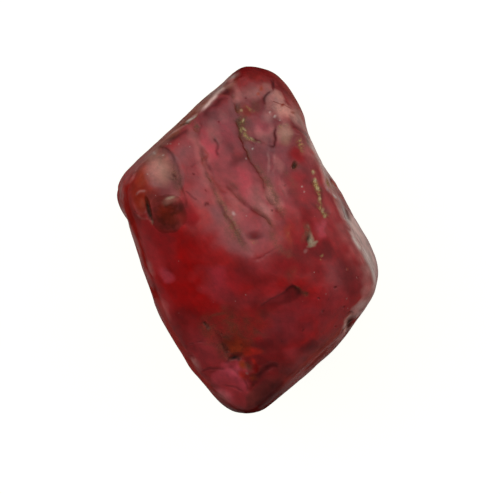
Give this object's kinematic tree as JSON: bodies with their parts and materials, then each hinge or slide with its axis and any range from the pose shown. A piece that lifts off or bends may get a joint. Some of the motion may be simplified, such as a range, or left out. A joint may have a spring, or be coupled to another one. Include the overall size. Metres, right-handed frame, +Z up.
{
  "type": "rough spinel crystal",
  "caption": "Waterworn rough spinel: a see-through red octahedral crystal with rounded edges, etched seams, steps and pits, lying on a worn flat.",
  "frame": {"origin": "middle of the bounding box's base, on the worn flat that the crystal lies on", "axes": "+Y along the long diagonal, towards the blunter point; +Z up, out of the ridge between the two largest faces; +X to the right with +Y away"},
  "size_m": [0.007, 0.0094, 0.006],
  "materials": {
    "spinel": "worn, half-polished natural skin"
  },
  "bodies": {
    "root": {"spinel": "spinel"}
  },
  "joints": []
}
